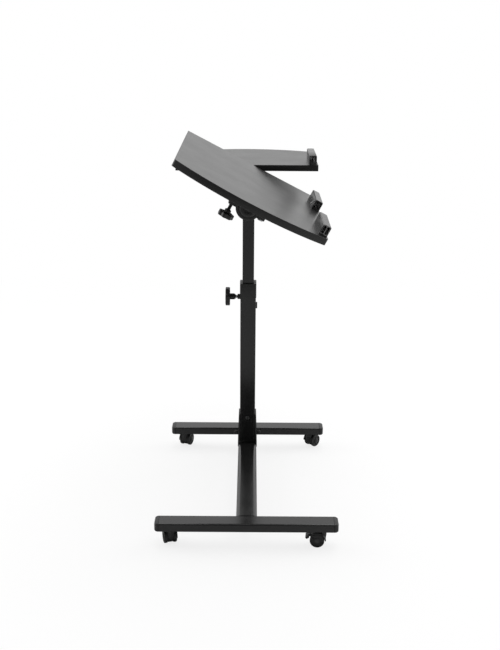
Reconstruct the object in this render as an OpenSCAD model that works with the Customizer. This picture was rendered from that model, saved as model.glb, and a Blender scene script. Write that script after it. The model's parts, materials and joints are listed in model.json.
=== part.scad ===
// Rolling laptop table. Millimetres, +Z up, floor at Z = 0.
// X runs along the foot rails, Y along the table top, from the tilting panel to the fixed one.

/* [Base] */
// Length of a foot rail over its end caps
rail_len = 400; // [340:5:520]
// Depth of the rail tube
rail_w = 40; // [34:1:60]
// Height of the rail tube
rail_h = 20; // [18:1:30]
// Wall of the rail, cross and column tubes
tube_wall = 1.5; // [1.2:0.1:2.5]
// Outer corner radius of the rail tube
rail_r = 3.5; // [3:0.5:6]
// Distance between the two rails, centre to centre
rail_span = 510; // [420:5:640]
// Width of the cross tube
cross_w = 46; // [44:1:60]
// Outer corner radius of the cross tube
cross_r = 8; // [4:0.5:8.5]
// Length of an end cap outside its rail
cap_len = 10; // [6:0.5:16]
// Distance of the column's centre from the far rail's centre
column_back_len = 90; // [60:5:160]

/* [Casters] */
// Height from the floor to the underside of a rail
caster_h = 40; // [39:1:50]
// Diameter of a caster wheel
wheel_d = 32; // [26:1:34]
// Width of a caster wheel
wheel_w = 8; // [6:0.5:10]
// Distance from a rail's end to the caster's stem
stem_inset = 34; // [32:1:60]
// Distance from a caster's swivel axis to its axle
trail = 11; // [8:0.5:14]
// Width of the hood's web between the two wheels
web_w = 12; // [11:0.5:16]
// Diameter of the stem's pin
stem_d = 8; // [6:0.5:8]
// Diameter of a wheel's axle
axle_d = 5; // [4:0.5:6]

/* [Column] */
// Side of the square lower column tube
lower_w = 38; // [36:1:42]
// Height of the lower column tube's top above the floor
lower_top = 474; // [420:1:560]
// Side of the square upper column tube
upper_w = 28; // [25:1:29]
// Outer corner radius of the column tubes
column_r = 2.5; // [2:0.1:4]
// Height of the upper tube's foot above the floor, as shown
upper_foot = 293; // [283:1:313]
// Height of the clamp knob's axis above the floor
knob_z = 443; // [400:1:453]
// Height of the foot bracket's cheeks above the floor
bracket_top = 136; // [125:1:200]
// Height of the foot bolt's axis above the floor
foot_bolt_z = 128; // [100:1:130]

/* [Top] */
// Width of the table top
top_w = 350; // [320:5:380]
// Thickness of the panels
panel_t = 15; // [12:0.5:20]
// Length of the tilting panel, over its bowed end
main_len = 500; // [460:5:540]
// Length of the fixed panel, over its bowed end
side_len = 272; // [240:2:320]
// Rise of the bow at each end of the top
bow = 50; // [20:1:60]
// Corner radius at each end of the top
corner_r = 6; // [3:1:20]
// Thickness of the panels' edge strip
edging_t = 1; // [0.5:0.1:2]
// Gap between the tilting panel and the fixed one
split_gap = 3; // [2:0.5:6]
// Distance from the column's centre to the tilting panel's straight end
split_y = 86; // [76:1:96]
// Height of the fixed panel's top face above the floor, as shown
top_z = 752; // [730:1:800]
// How far the tilting panel's middle stands left of the column
main_shift = 15; // [0:1:20]
// How far the fixed panel's middle stands left of the column
side_shift = 5; // [0:1:20]
// Tilt of the tilting panel, as shown
tilt_rest = 27.5; // [0:0.5:60]

/* [Beam] */
// Outer diameter of the round beam under the top
beam_d = 38; // [32:1:40]
// Depth of the beam's axis below the top face
axis_drop = 47; // [46:1:56]
// Distance from the column's centre to the beam's near end
beam_near_len = 214; // [205:1:240]
// Distance from the column's centre to the beam's far end
beam_far_len = 306; // [290:1:340]
// Outer radius of the brackets around the beam
clamp_r = 28; // [26:0.5:29]
// Length of a bracket along the beam
clamp_len = 30; // [24:1:36]
// Wall of the bush between bracket and beam
bush_t = 2; // [1.5:0.1:3]
// Distance of the bracket's bolts from the beam's axis
ear_x = 36; // [35:1:42]
// Distance from the column's centre to the clamping bracket
clamp_y = 194; // [180:1:210]
// Distance from the column's centre to the plain bracket
bearing_y = 56; // [50:1:60]

/* [Knobs] */
// Diameter of the height knob
height_knob_d = 46; // [36:1:50]
// Diameter of the tilt knob
tilt_knob_d = 37; // [30:1:40]
// Thickness of a knob's plate
knob_t = 11; // [8:0.5:14]
// Diameter of a knob's threaded stud
stud_d = 8; // [6:0.5:8]
// Number of lobes on a knob
knob_lobes = 7; // [5:1:9]

/* [Stops] */
// Width of a stop along the top's low edge
stop_w = 18; // [16:1:24]
// Height of a stop
stop_h = 23; // [18:1:30]
// Length of a stop
stop_len = 125; // [100:1:140]

/* [Hidden] */
$fn = 64;

// Colours
steel_black = [0.10, 0.10, 0.11];
plastic_black = [0.07, 0.07, 0.07];
board_black = [0.16, 0.16, 0.17];
zinc = [0.62, 0.62, 0.64];

// Clearances: one overrun for cuts, running fits, and gaps between flat moving faces
over = 1;
run_gap = 0.05;
slide_gap = 0.3;

// Places that follow from the sizes
column_y = (rail_span - column_back_len + rail_w / 2 - split_y - split_gap - side_len) / 2;
far_y = column_y + column_back_len;
near_y = far_y - rail_span;
rail_z = caster_h + rail_h / 2;
rail_top = caster_h + rail_h;
tube_len = rail_len - 2 * cap_len;
stem_x = rail_len / 2 - stem_inset;
axis_z = top_z - axis_drop;
under_v = axis_drop - panel_t;
wheel_r = wheel_d / 2;
beam_r = beam_d / 2;
split_at = column_y + split_y;

// Bolts: shank and head sizes
m6_d = 6;
m6_head_d = 11;
m6_head_h = 3.3;
m6_nut_af = 10;
m6_nut_h = 5;
screw_d = 4;
screw_head_d = 8;
screw_head_h = 2.4;
screw_bite = 10;
screw_in = 9;
bolt_out = 1;

// The casters stand near left, near right, far left and far right, each turned at rest as shown
side_sign = [-1, 1, -1, 1];
caster_turn = [-15, -84, 20, 42];
function side_pair() = [-1, 1];
function rail_of(i) = i < 2 ? near_y : far_y;

// A rectangle with round corners
module round_rect(w, h, r) {
    square([w - 2 * r, h], center = true);
    square([w, h - 2 * r], center = true);
    for (sx = [-1, 1], sy = [-1, 1])
        translate([sx * (w / 2 - r), sy * (h / 2 - r)]) circle(r = r);
}

// The wall of a rectangular tube
module tube_wall_shape(w, h, r) {
    difference() {
        round_rect(w, h, r);
        round_rect(w - 2 * tube_wall, h - 2 * tube_wall, r - tube_wall);
    }
}

module along_x(len) {
    rotate([90, 0, 90]) linear_extrude(len, center = true) children();
}

module along_y(len) {
    rotate([90, 0, 0]) linear_extrude(len, center = true) children();
}

// A round bar along Y, centred
module bar_y(r, len) {
    rotate([90, 0, 0]) cylinder(r = r, h = len, center = true);
}

// A round bar along X, centred
module bar_x(r, len) {
    rotate([0, 90, 0]) cylinder(r = r, h = len, center = true);
}

// A button head that stands on Z = 0, with its hexagon socket
button_socket_share = 0.36;
button_depth_share = 0.55;
module button_head(d, h) {
    difference() {
        union() {
            cylinder(d = d, h = h / 2);
            translate([0, 0, h / 2]) cylinder(d1 = d, d2 = d * (1 - button_socket_share), h = h / 2);
        }
        translate([0, 0, h * (1 - button_depth_share)])
            cylinder(d = d * button_socket_share, h = h, $fn = 6);
    }
}

// A hexagon nut that stands on Z = 0
module hex_nut(af, h, bore) {
    difference() {
        cylinder(d = af / cos(30), h = h, $fn = 6);
        translate([0, 0, -over]) cylinder(d = bore, h = h + 2 * over);
    }
}

// Base: rails

rail_bolt_gap = 1;
bolt_x = cross_w / 2 + m6_head_d / 2 + rail_bolt_gap;
end_plate_t = 3;
end_plate_margin = 8;
end_ear_h = 13;
end_ear_r = 3;
end_plate_w = 2 * (bolt_x + end_plate_margin);

module rail(y, inward) {
    translate([0, y, rail_z]) difference() {
        along_x(tube_len) tube_wall_shape(rail_w, rail_h, rail_r);
        for (s = side_pair()) translate([s * stem_x, 0, -rail_h])
            cylinder(d = stem_d + 2 * run_gap, h = rail_h);
        for (s = side_pair()) translate([s * bolt_x, inward * rail_w / 2, 0])
            bar_y(m6_d / 2 + run_gap, 2 * tube_wall + 2 * over);
    }
}

module near_rail() {
    color(steel_black) rail(near_y, 1);
}

module far_rail() {
    color(steel_black) rail(far_y, -1);
}

// The caps: a domed outer end and a short plug inside the tube
cap_plan_r = 9;
cap_edge_r = 5;
plug_len = 14;
plug_gap = 0.1;

module rail_cap() {
    intersection() {
        translate([cap_len / 2, 0, 0]) along_x(cap_len) round_rect(rail_w, rail_h, rail_r);
        linear_extrude(2 * rail_h, center = true)
            round_rect(2 * cap_len, rail_w, cap_plan_r);
        rotate([90, 0, 0]) linear_extrude(2 * rail_w, center = true)
            round_rect(2 * cap_len, rail_h, cap_edge_r);
    }
    translate([-plug_len / 2, 0, 0]) along_x(plug_len)
        round_rect(rail_w - 2 * tube_wall - 2 * plug_gap, rail_h - 2 * tube_wall - 2 * plug_gap,
                   rail_r - tube_wall);
}

module rail_end_caps() {
    color(plastic_black)
        for (y = [near_y, far_y], s = side_pair())
            translate([s * tube_len / 2, y, rail_z]) rotate([0, 0, s > 0 ? 0 : 180]) rail_cap();
}

cross_len = rail_span - rail_w - 2 * end_plate_t;

module cross_tube() {
    color(steel_black) translate([0, (near_y + far_y) / 2, rail_z])
        along_y(cross_len) tube_wall_shape(cross_w, rail_h, cross_r);
}

module cross_tube_end_plates() {
    color(steel_black)
        for (s = side_pair())
            translate([0, (near_y + far_y) / 2 + s * (cross_len + end_plate_t) / 2, rail_z])
                difference() {
                    along_y(end_plate_t) {
                        round_rect(cross_w, rail_h, cross_r);
                        round_rect(end_plate_w, end_ear_h, end_ear_r);
                    }
                    for (t = side_pair()) translate([t * bolt_x, 0, 0])
                        bar_y(m6_d / 2 + run_gap, end_plate_t + 2 * over);
                }
}

rail_bolt_len = 16;

module rail_bolts() {
    color(steel_black)
        for (s = side_pair(), t = side_pair())
            translate([t * bolt_x, (near_y + far_y) / 2 + s * cross_len / 2, rail_z])
                rotate([90 * s, 0, 0]) {
                    button_head(m6_head_d, m6_head_h);
                    translate([0, 0, -rail_bolt_len]) cylinder(d = m6_d, h = rail_bolt_len);
                }
}

// Base: column

shoe_h = 8;
cheek_t = 3;
shoe_front = 2;
web_back_t = 3;
column_foot = rail_top + shoe_h;
shoe_lap = 11;
shoe_lap_t = 1.2;

// A cheek with its half of the sole, which laps over the cross tube's shoulder
module cheek() {
    inner = lower_w / 2;
    outer = max(cross_w / 2 + shoe_lap_t, inner + cheek_t);
    rotate([90, 0, 0]) linear_extrude(lower_w + 2 * shoe_front, center = true) difference() {
        polygon([[inner, rail_top + shoe_h], [inner, bracket_top], [inner + cheek_t, bracket_top],
                 [outer, rail_top], [outer, rail_top - shoe_lap], [0, rail_top - shoe_lap],
                 [0, rail_top + shoe_h]]);
        translate([0, rail_z]) round_rect(cross_w, rail_h, cross_r);
        translate([-outer, rail_z - rail_h]) square([outer + cross_w / 2, rail_h]);
    }
}

module foot_bracket() {
    web_y = lower_w / 2 + web_back_t / 2;
    color(steel_black) translate([0, column_y, 0]) difference() {
        union() {
            cheek();
            mirror([1, 0, 0]) cheek();
            translate([0, web_y, (bracket_top + rail_top) / 2])
                cube([lower_w + 2 * cheek_t, web_back_t, bracket_top - rail_top], center = true);
        }
        translate([0, web_y, foot_bolt_z]) bar_y(m6_d / 2 + run_gap, web_back_t + 2 * over);
    }
}

snap_drop_h = 22;
snap_z = knob_z - snap_drop_h;
snap_d = 16;

module lower_column() {
    color(steel_black) translate([0, column_y, 0]) difference() {
        translate([0, 0, column_foot]) linear_extrude(lower_top - column_foot)
            tube_wall_shape(lower_w, lower_w, column_r);
        translate([0, 0, foot_bolt_z]) bar_y(m6_d / 2 + run_gap, lower_w + 2 * over);
        translate([-lower_w / 2, 0, knob_z]) bar_x(stud_d / 2 + slide_gap, 2 * tube_wall + 2 * over);
        translate([lower_w / 2, 0, snap_z]) bar_x(snap_d / 2 + run_gap, 2 * tube_wall + 2 * over);
    }
}

module foot_bolt() {
    shank = lower_w + web_back_t + m6_nut_h + bolt_out;
    color(steel_black) translate([0, column_y - lower_w / 2, foot_bolt_z]) {
        rotate([90, 0, 0]) button_head(m6_head_d, m6_head_h);
        translate([0, shank / 2, 0]) bar_y(m6_d / 2, shank);
    }
}

module foot_nut() {
    color(zinc) translate([0, column_y + lower_w / 2 + web_back_t, foot_bolt_z])
        rotate([-90, 0, 0]) hex_nut(m6_nut_af, m6_nut_h, m6_d + 2 * run_gap);
}

// The collar: a thin skirt outside the tube, a lip on its top and a bush between the two tubes
lip_h = 6;
skirt_t = 1;
skirt_h = 29;
bush_h = 62;
snap_out = 3.4;
nut_d = 13;
nut_h = 7;
skirt_notch = 2;

module column_collar() {
    bush_w = lower_w - 2 * tube_wall - 2 * plug_gap;
    color(plastic_black) translate([0, column_y, 0]) difference() {
        union() {
            translate([0, 0, lower_top]) linear_extrude(lip_h)
                round_rect(lower_w + 2 * skirt_t, lower_w + 2 * skirt_t, column_r + skirt_t);
            translate([0, 0, lower_top - skirt_h]) linear_extrude(skirt_h) difference() {
                round_rect(lower_w + 2 * skirt_t, lower_w + 2 * skirt_t, column_r + skirt_t);
                round_rect(lower_w, lower_w, column_r);
            }
            translate([0, 0, lower_top - bush_h]) linear_extrude(bush_h)
                round_rect(bush_w, bush_w, column_r - tube_wall);
            translate([lower_w / 4 + snap_out / 2, 0, snap_z]) bar_x(snap_d / 2, lower_w / 2 + snap_out);
        }
        translate([0, 0, lower_top - bush_h - over]) linear_extrude(bush_h + lip_h + 2 * over)
            round_rect(upper_w + 2 * slide_gap, upper_w + 2 * slide_gap, column_r);
        translate([-lower_w / 2, 0, knob_z]) bar_x(stud_d / 2 + slide_gap, lower_w);
        translate([-lower_w / 2 - nut_h / 2, 0, knob_z]) bar_x(nut_d / 2 + skirt_notch, nut_h);
    }
}

module clamp_nut() {
    color(steel_black) translate([-lower_w / 2, column_y, knob_z]) rotate([0, -90, 0])
        difference() {
            cylinder(d = nut_d, h = nut_h);
            translate([0, 0, -over]) cylinder(d = stud_d + 2 * run_gap, h = nut_h + 2 * over);
        }
}

// Knobs: a lobed plate with a hub on the stud's side; the stud runs along +Z
hub_d = 14;
hub_h = 14;
lobe_share = 0.12;
core_share = 0.87;
dimple_share = 0.34;
dimple_depth = 2;
stud_seat = 8;

module knob_body(d, hub) {
    lobe_r = d * lobe_share;
    ring_r = d / 2 - lobe_r;
    difference() {
        union() {
            cylinder(r = d / 2 * core_share, h = knob_t);
            for (i = [0:knob_lobes - 1]) rotate([0, 0, i * 360 / knob_lobes])
                translate([ring_r, 0, 0]) cylinder(r = lobe_r, h = knob_t);
            translate([0, 0, knob_t]) cylinder(d = hub_d, h = hub);
        }
        translate([0, 0, -over]) cylinder(r = d * dimple_share, h = dimple_depth + over);
        translate([0, 0, knob_t + hub - stud_seat]) cylinder(d = stud_d, h = stud_seat + over);
    }
}

// Distance from the column's wall to the height knob's hub, as shown
stud_bare = 4.5;
height_hub_x = -lower_w / 2 - nut_h - stud_bare;
height_stud_len = -height_hub_x - upper_w / 2 - slide_gap + stud_seat;

module at_height_knob() {
    translate([height_hub_x, column_y, knob_z]) rotate([0, 90, 0]) children();
}

module height_knob() {
    color(plastic_black) at_height_knob() translate([0, 0, -knob_t - hub_h])
        knob_body(height_knob_d, hub_h);
}

module height_knob_stud() {
    color(zinc) at_height_knob() translate([0, 0, -stud_seat])
        cylinder(d = stud_d, h = height_stud_len);
}

// Mast: the upper tube and the beam on it
guide_h = 40;
guide_gap = 0.3;

module upper_column() {
    color(steel_black) translate([0, column_y, 0]) difference() {
        translate([0, 0, upper_foot]) linear_extrude(axis_z - upper_foot)
            tube_wall_shape(upper_w, upper_w, column_r);
        translate([0, 0, axis_z]) bar_y(beam_r, upper_w + 2 * over);
    }
}

// The guide: a plastic foot that plugs into the upper tube and rubs inside the lower one
guide_lip = 4;

module upper_column_guide() {
    guide_w = lower_w - 2 * tube_wall - 2 * guide_gap;
    inner_w = upper_w - 2 * tube_wall - 2 * plug_gap;
    color(plastic_black) translate([0, column_y, upper_foot]) {
        translate([0, 0, -guide_lip]) linear_extrude(guide_lip)
            round_rect(guide_w, guide_w, column_r - tube_wall);
        linear_extrude(guide_h) difference() {
            round_rect(guide_w, guide_w, column_r - tube_wall);
            round_rect(upper_w, upper_w, column_r);
        }
        linear_extrude(guide_h / 2) round_rect(inner_w, inner_w, column_r - tube_wall);
    }
}

beam_len = beam_near_len + beam_far_len;
beam_mid = column_y + (beam_far_len - beam_near_len) / 2;

module beam() {
    color(steel_black) translate([0, beam_mid, axis_z]) difference() {
        bar_y(beam_r, beam_len);
        bar_y(beam_r - tube_wall, beam_len + 2 * over);
        for (y = saddle_places) translate([0, y - beam_mid, 0])
            cylinder(d = m6_d + 2 * run_gap, h = beam_d + 2 * over, center = true);
    }
}

plug_dome = 4;

module beam_end_plugs() {
    color(plastic_black)
        for (s = side_pair()) translate([0, beam_mid + s * beam_len / 2, axis_z])
            rotate([-90 * s, 0, 0]) {
                cylinder(r = beam_r, h = plug_dome / 2);
                translate([0, 0, plug_dome / 2])
                    cylinder(r1 = beam_r, r2 = beam_r - plug_dome / 2, h = plug_dome / 2);
                translate([0, 0, -plug_len]) cylinder(r = beam_r - tube_wall - plug_gap, h = plug_len);
            }
}

// Panels: the outline is straight at the split and bowed at the other end.
// The straight end lies on Y = 0 and the bowed end points to -Y; inset shrinks it all round.
// The corner circles overlap their neighbours by this much, so that the outline has no slivers
corner_lap = 0.02;
function bow_radius() = (pow(top_w / 2, 2) + pow(bow, 2)) / (2 * bow);

module panel_shape(len, inset) {
    big_r = bow_radius() - inset;
    centre_y = -len + bow_radius();
    half = top_w / 2 - inset;
    r = corner_r - inset;
    cx = half - r;
    cy = centre_y - sqrt(pow(big_r - r, 2) - pow(cx, 2));
    lean = atan2(cx, centre_y - cy);
    reach = r / cos(lean / 2 + 45) + over;
    difference() {
        intersection() {
            translate([-half, -len]) square([2 * half, len - inset]);
            translate([0, centre_y]) circle(r = big_r, $fn = 180);
        }
        for (s = side_pair()) scale_x(s)
            polygon([[cx, cy], [half + over, cy], [half + over, cy - reach - corner_r],
                     [cx + r * sin(lean), cy - reach - corner_r],
                     [cx + r * sin(lean), cy - r * cos(lean)]]);
    }
    for (s = side_pair()) translate([s * cx, cy]) circle(r = r + corner_lap);
}

module scale_x(s) {
    mirror([s < 0 ? 1 : 0, 0, 0]) children();
}

// The tilting panel's own frame: the beam's axis is the origin, +Z leaves the top face
module on_main() {
    translate([0, column_y, axis_z]) rotate([0, tilt_rest, 0]) children();
}

module on_side() {
    translate([0, column_y, axis_z]) children();
}

module main_outline(inset) {
    translate([-main_shift, split_y]) panel_shape(main_len, inset);
}

module side_outline(inset) {
    translate([-side_shift, split_y + split_gap]) rotate(180) panel_shape(side_len, inset);
}

module screw_holes(places, d) {
    for (p = places) translate([p[0], p[1], under_v - over]) cylinder(d = d, h = screw_bite + over);
}

module main_panel() {
    color(board_black) on_main() difference() {
        translate([0, 0, under_v]) linear_extrude(panel_t) main_outline(edging_t);
        screw_holes(bracket_screw_places, screw_d);
        stop_screw_holes(main_stop_places, main_shift);
    }
}

module main_panel_edging() {
    color(plastic_black) on_main() translate([0, 0, under_v]) linear_extrude(panel_t)
        difference() {
            main_outline(0);
            main_outline(edging_t);
        }
}

module side_panel() {
    color(board_black) on_side() difference() {
        translate([0, 0, under_v]) linear_extrude(panel_t) side_outline(edging_t);
        screw_holes(saddle_screw_places, screw_d);
        stop_screw_holes(side_stop_places, side_shift);
        for (y = saddle_places) translate([0, y - column_y, under_v - over])
            cylinder(d = m6_d, h = screw_bite + over);
    }
}

module side_panel_edging() {
    color(plastic_black) on_side() translate([0, 0, under_v]) linear_extrude(panel_t)
        difference() {
            side_outline(0);
            side_outline(edging_t);
        }
}

// Brackets around the beam, in the panel's frame
flange_w = 84;
flange_t = 4;
flange_edge = 8;
split_half = 1;
ear_h = 10;
ear_end = 8;
bracket_bore = beam_r + bush_t;
neck_w = 2 * clamp_r;

module bracket_outline_upper() {
    circle(r = clamp_r);
    translate([-neck_w / 2, 0]) square([neck_w, under_v]);
    translate([-flange_w / 2, under_v - flange_t]) square([flange_w, flange_t]);
    translate([-ear_x - ear_end, split_half]) square([2 * (ear_x + ear_end), ear_h]);
}

module bracket_outline_lower() {
    circle(r = clamp_r);
    translate([-ear_x - ear_end, -split_half - ear_h]) square([2 * (ear_x + ear_end), ear_h]);
}

module half_plane(up) {
    size = 2 * (flange_w + clamp_r);
    translate([-size / 2, up > 0 ? split_half : -size - split_half]) square([size, size]);
}

module ear_holes(y, d, h) {
    for (s = side_pair()) translate([s * ear_x, y, 0]) cylinder(d = d, h = h, center = true);
}

module bracket_half(y, up) {
    difference() {
        translate([0, y, 0]) along_y(clamp_len) difference() {
            intersection() {
                if (up > 0) bracket_outline_upper();
                else bracket_outline_lower();
                half_plane(up);
            }
            circle(r = bracket_bore);
        }
        ear_holes(y, stud_d + 2 * run_gap, 2 * (split_half + ear_h) + 2 * over);
        if (up > 0)
            for (p = bracket_screws_at(y)) translate([p[0], p[1], under_v - flange_t - over])
                cylinder(d = screw_d, h = flange_t + 2 * over);
    }
}

function bracket_screws_at(y) =
    [for (s = [-1, 1], t = [-1, 1])
        [s * (flange_w / 2 - flange_edge), y + t * (clamp_len / 2 - flange_edge)]];

bracket_screw_places = concat(bracket_screws_at(-clamp_y), bracket_screws_at(bearing_y));

module clamp_bracket() {
    color(plastic_black) on_main() bracket_half(-clamp_y, 1);
}

module clamp_bracket_cap() {
    color(plastic_black) on_main() bracket_half(-clamp_y, -1);
}

module bearing_bracket() {
    color(plastic_black) on_main() bracket_half(bearing_y, 1);
}

module bearing_bracket_cap() {
    color(plastic_black) on_main() bracket_half(bearing_y, -1);
}

// The bushes turn with the brackets around the beam
module bracket_bushes() {
    color(plastic_black) on_main()
        for (y = [-clamp_y, bearing_y]) translate([0, y, 0]) difference() {
            bar_y(bracket_bore, clamp_len);
            bar_y(beam_r + run_gap, clamp_len + 2 * over);
        }
}

// Ear bolts: a head under the cap's ear and a nut over the bracket's ear
ear_head_d = 13;
ear_head_h = 4;
ear_nut_h = 6.5;
ear_nut_af = 13;

module ear_bolt(x, y) {
    top = split_half + ear_h;
    translate([x, y, -top]) {
        translate([0, 0, -ear_head_h]) cylinder(d = ear_head_d, h = ear_head_h);
        cylinder(d = stud_d, h = 2 * top + ear_nut_h);
    }
    translate([x, y, top]) hex_nut(ear_nut_af, ear_nut_h, stud_d);
}

module clamp_ear_bolt() {
    color(zinc) on_main() ear_bolt(ear_x, -clamp_y);
}

module bearing_ear_bolts() {
    color(zinc) on_main() for (s = side_pair()) ear_bolt(s * ear_x, bearing_y);
}

// Wood screws up through a flange, with their heads under it
module wood_screw(seat) {
    translate([0, 0, -screw_head_h]) cylinder(d1 = screw_head_d / 2, d2 = screw_head_d, h = screw_head_h);
    cylinder(d = screw_d, h = seat + screw_in);
}

module bracket_screws() {
    color(zinc) on_main() for (p = bracket_screw_places)
        translate([p[0], p[1], under_v - flange_t]) wood_screw(flange_t);
}

// Saddles: fixed blocks between the beam and the fixed panel
saddle_near_len = 62;
saddle_end_len = 27;
saddle_w = 30;
saddle_places = [split_at + split_gap + saddle_near_len, column_y + beam_far_len - saddle_end_len];
saddle_screw_places = [for (y = saddle_places, p = bracket_screws_at(y - column_y)) p];

module side_saddles() {
    color(plastic_black) on_side() for (y = saddle_places) translate([0, y - column_y, 0])
        difference() {
            along_y(clamp_len) difference() {
                union() {
                    translate([-saddle_w / 2, 0]) square([saddle_w, under_v]);
                    translate([-flange_w / 2, under_v - flange_t]) square([flange_w, flange_t]);
                }
                circle(r = beam_r);
            }
            cylinder(d = m6_d + 2 * run_gap, h = under_v + over);
            for (p = bracket_screws_at(0)) translate([p[0], p[1], under_v - flange_t - over])
                cylinder(d = screw_d, h = flange_t + 2 * over);
        }
}

module side_saddle_bolts() {
    color(zinc) on_side() for (y = saddle_places) translate([0, y - column_y, -beam_r]) {
        rotate([180, 0, 0]) button_head(m6_head_d, m6_head_h);
        cylinder(d = m6_d, h = beam_r + under_v + screw_in);
    }
}

module side_saddle_screws() {
    color(zinc) on_side() for (p = saddle_screw_places)
        translate([p[0], p[1], under_v - flange_t]) wood_screw(flange_t);
}

// Stops: two-cell ledges along the low edge, each held by two screws from below
stop_r = 2.5;
stop_floor = 5;
stop_wall = 2.2;
stop_rib_t = 2.4;
stop_inset = 4;
stop_screw_inset = 22;
stop_screw_in = 4;
stop_end_gap = 6;
stop_side_gap = 1.5;
// From the split edge to the farther stop of the tilting panel
stop_split_gap = 60;
main_stop_places = [split_y - main_len + bow + stop_end_gap + stop_len / 2,
                    split_y - stop_split_gap - stop_len / 2];
side_stop_places = [split_y + split_gap + stop_side_gap + stop_len / 2];
function stop_x(shift) = top_w / 2 - shift - stop_w / 2 - stop_inset;

module stop_bar() {
    difference() {
        along_y(stop_len) difference() {
            union() {
                translate([0, stop_h / 2]) round_rect(stop_w, stop_h, stop_r);
                translate([-stop_w / 2, 0]) square([stop_w, stop_r]);
            }
            for (s = side_pair()) translate([s * (stop_w - 2 * stop_wall + stop_rib_t) / 4,
                                             (stop_h + stop_floor - stop_wall) / 2])
                square([(stop_w - 2 * stop_wall - stop_rib_t) / 2, stop_h - stop_floor - stop_wall],
                       center = true);
        }
        for (s = side_pair()) translate([0, s * (stop_len / 2 - stop_screw_inset), -over])
            cylinder(d = screw_d, h = stop_floor + over);
    }
}

module stop_screw_holes(places, shift) {
    for (y = places, s = side_pair())
        translate([stop_x(shift), y + s * (stop_len / 2 - stop_screw_inset), under_v - over])
            cylinder(d = screw_d, h = panel_t + 2 * over);
}

module stop_screws_at(places, shift) {
    for (y = places, s = side_pair())
        translate([stop_x(shift), y + s * (stop_len / 2 - stop_screw_inset), under_v]) {
            translate([0, 0, -screw_head_h])
                cylinder(d1 = screw_head_d / 2, d2 = screw_head_d, h = screw_head_h);
            cylinder(d = screw_d, h = panel_t + stop_screw_in);
        }
}

module main_stops() {
    color(plastic_black) on_main() for (y = main_stop_places)
        translate([stop_x(main_shift), y, axis_drop]) stop_bar();
}

module side_stop() {
    color(plastic_black) on_side() for (y = side_stop_places)
        translate([stop_x(side_shift), y, axis_drop]) stop_bar();
}

module main_stop_screws() {
    color(zinc) on_main() stop_screws_at(main_stop_places, main_shift);
}

module side_stop_screws() {
    color(zinc) on_side() stop_screws_at(side_stop_places, side_shift);
}

// The tilt knob hangs under the clamping bracket's left ear
tilt_hub_drop = 14;
tilt_hub_h = 8;
tilt_stud_out = 8;

module at_tilt_knob() {
    on_main() translate([-ear_x, -clamp_y, -split_half - ear_h - tilt_hub_drop]) children();
}

module tilt_knob() {
    color(plastic_black) at_tilt_knob() translate([0, 0, -knob_t - tilt_hub_h])
        knob_body(tilt_knob_d, tilt_hub_h);
}

module tilt_knob_stud() {
    color(zinc) at_tilt_knob() translate([0, 0, -stud_seat]) cylinder(d = stud_d,
        h = stud_seat + tilt_hub_drop + 2 * (split_half + ear_h) + tilt_stud_out);
}

// Casters, in a frame with the swivel axis on Z and the axle towards +Y
hood_gap = 1;
hood_t = 2.5;
hood_start = 48;
hood_end = 176;
neck_r = 9;
stem_flange_t = 2;
pin_depth = 16;
web_lead = 8;
web_lift = 1.5;
axle_side_gap = 0.5;
total_w = web_w + 2 * (axle_side_gap + wheel_w);
hood_top = caster_h - stem_flange_t - slide_gap;
pin_foot = hood_top - pin_depth;
knuckle_w = 4;
knuckle_y = trail + wheel_r - 2;
knuckle_z = wheel_r + 11;
pedal_pin_d = 3;

module at_caster(i) {
    translate([side_sign[i] * stem_x, rail_of(i), 0]) rotate([0, 0, -caster_turn[i]]) children();
}

// A slice of a ring about the axle, between two angles from +Y
module ring_slice(r_in, r_out, a0, a1) {
    far = 2 * r_out;
    mid = (a0 + a1) / 2;
    intersection() {
        difference() {
            circle(r = r_out);
            circle(r = r_in);
        }
        polygon([[0, 0], [far * cos(a0), far * sin(a0)], [far * cos(mid), far * sin(mid)],
                 [far * cos(a1), far * sin(a1)]]);
    }
}

module hood(i, lock) {
    color(plastic_black) at_caster(i) difference() {
        union() {
            translate([0, trail, wheel_r]) along_x(total_w)
                ring_slice(wheel_r + hood_gap, wheel_r + hood_gap + hood_t, hood_start, hood_end);
            along_x(web_w) union() {
                translate([trail, wheel_r]) circle(r = wheel_r - web_lift);
                translate([-web_lead, wheel_r]) square([trail + web_lead, hood_top - wheel_r]);
            }
            translate([0, 0, wheel_d + hood_gap]) cylinder(r = neck_r, h = hood_top - wheel_d - hood_gap);
            if (lock) along_x(knuckle_w) union() {
                translate([knuckle_y, knuckle_z]) circle(d = 2 * pedal_pin_d);
                translate([trail, knuckle_z - pedal_pin_d])
                    square([knuckle_y - trail, 2 * pedal_pin_d]);
            }
        }
        translate([0, 0, pin_foot]) cylinder(d = stem_d + 2 * run_gap, h = pin_depth + over);
        translate([0, trail, wheel_r]) bar_x(axle_d / 2, total_w);
        if (lock) translate([0, knuckle_y, knuckle_z])
            bar_x(pedal_pin_d / 2 + run_gap, knuckle_w + 2 * over);
    }
}

cap_side = 1;

module axle(i) {
    color(zinc) at_caster(i) translate([0, trail, wheel_r]) {
        bar_x(axle_d / 2, total_w);
        for (s = side_pair()) translate([s * (total_w + cap_side) / 2, 0, 0]) bar_x(axle_d, cap_side);
    }
}

tread_r = 1.5;
dish_share = 0.66;
dish_depth = 1.2;
wheel_end_gap = 0.3;

module wheel(i, s) {
    color(plastic_black) at_caster(i)
        translate([s * (web_w / 2 + axle_side_gap + (wheel_w - wheel_end_gap) / 2), trail, wheel_r])
            rotate([0, 90 * s, 0]) translate([0, 0, -(wheel_w - wheel_end_gap) / 2])
                rotate_extrude() wheel_profile(wheel_w - wheel_end_gap);
}

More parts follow.
